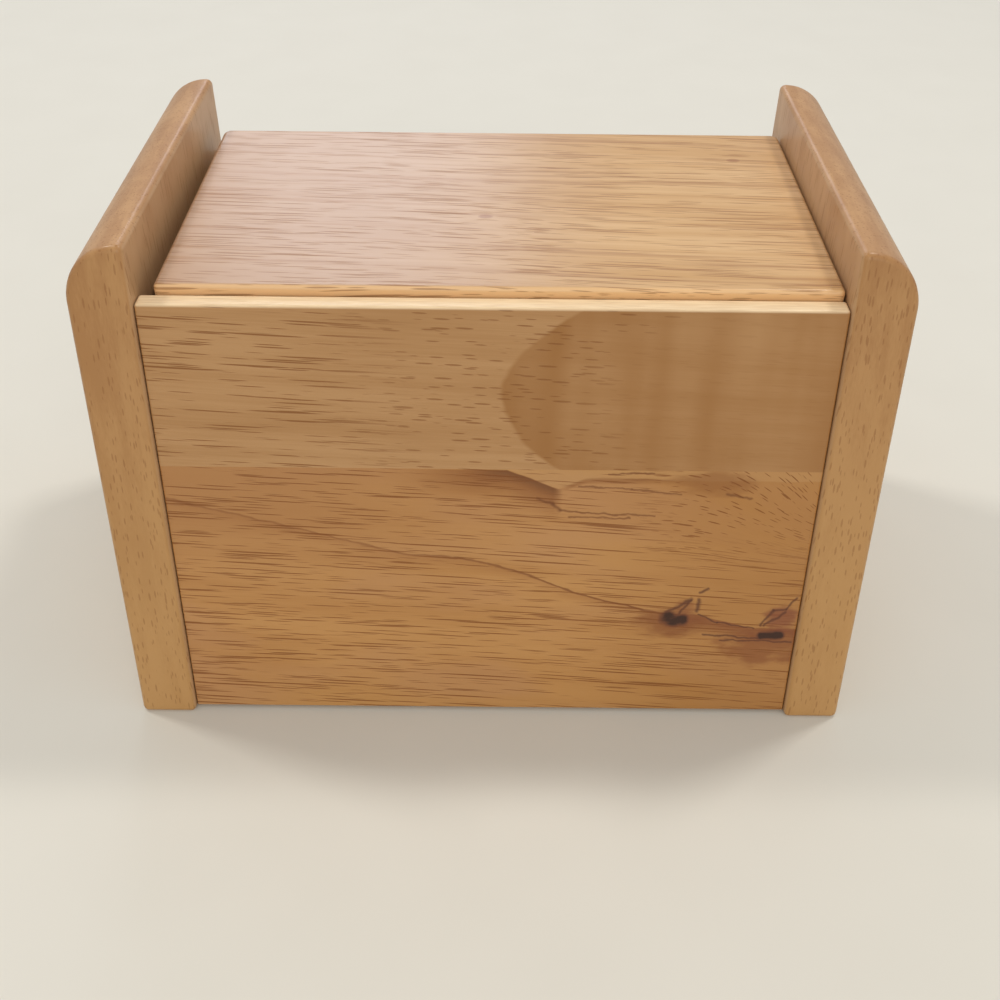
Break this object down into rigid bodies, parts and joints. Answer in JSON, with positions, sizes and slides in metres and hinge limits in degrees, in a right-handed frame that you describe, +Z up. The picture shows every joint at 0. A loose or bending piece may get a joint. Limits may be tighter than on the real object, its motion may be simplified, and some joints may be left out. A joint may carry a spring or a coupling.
{
  "type": "recipe card box",
  "caption": "Wooden box for index cards: thick sides with rounded tops, a front that leans back and a flat lid hinged at the back.",
  "frame": {"origin": "on the table, under the middle of the outside width and of the sides' depth at the foot", "axes": "+X from left to right seen from the front, +Y from the front to the hinged back, +Z up"},
  "size_m": [0.1598, 0.1036, 0.1084],
  "materials": {
    "side_wood": "satin clear lacquer",
    "panel_wood": "satin clear lacquer",
    "lid_wood": "satin clear lacquer",
    "bottom_wood": "plain plywood",
    "dowel_wood": "plain",
    "hinge_brass": "satin",
    "screw_brass": "satin"
  },
  "bodies": {
    "box": {"left_side": "side_wood", "right_side": "side_wood", "front_upper_board": "panel_wood", "front_lower_board": "panel_wood", "back_upper_board": "panel_wood", "back_lower_board": "panel_wood", "bottom_panel": "bottom_wood", "front_dowels": "dowel_wood", "back_dowels": "dowel_wood", "left_hinge_box_leaf": "hinge_brass", "left_hinge_pin": "hinge_brass", "right_hinge_box_leaf": "hinge_brass", "right_hinge_pin": "hinge_brass", "box_leaf_screws": "screw_brass"},
    "lid": {"lid": "lid_wood", "left_hinge_lid_leaf": "hinge_brass", "right_hinge_lid_leaf": "hinge_brass", "lid_leaf_screws": "screw_brass"}
  },
  "joints": [
    {"name": "lid_hinge", "type": "hinge", "parent": "box", "child": "lid", "pos_m": [0, 0.04613, 0.0921], "axis": [-1, 0, 0], "range_deg": [0, 101]}
  ]
}
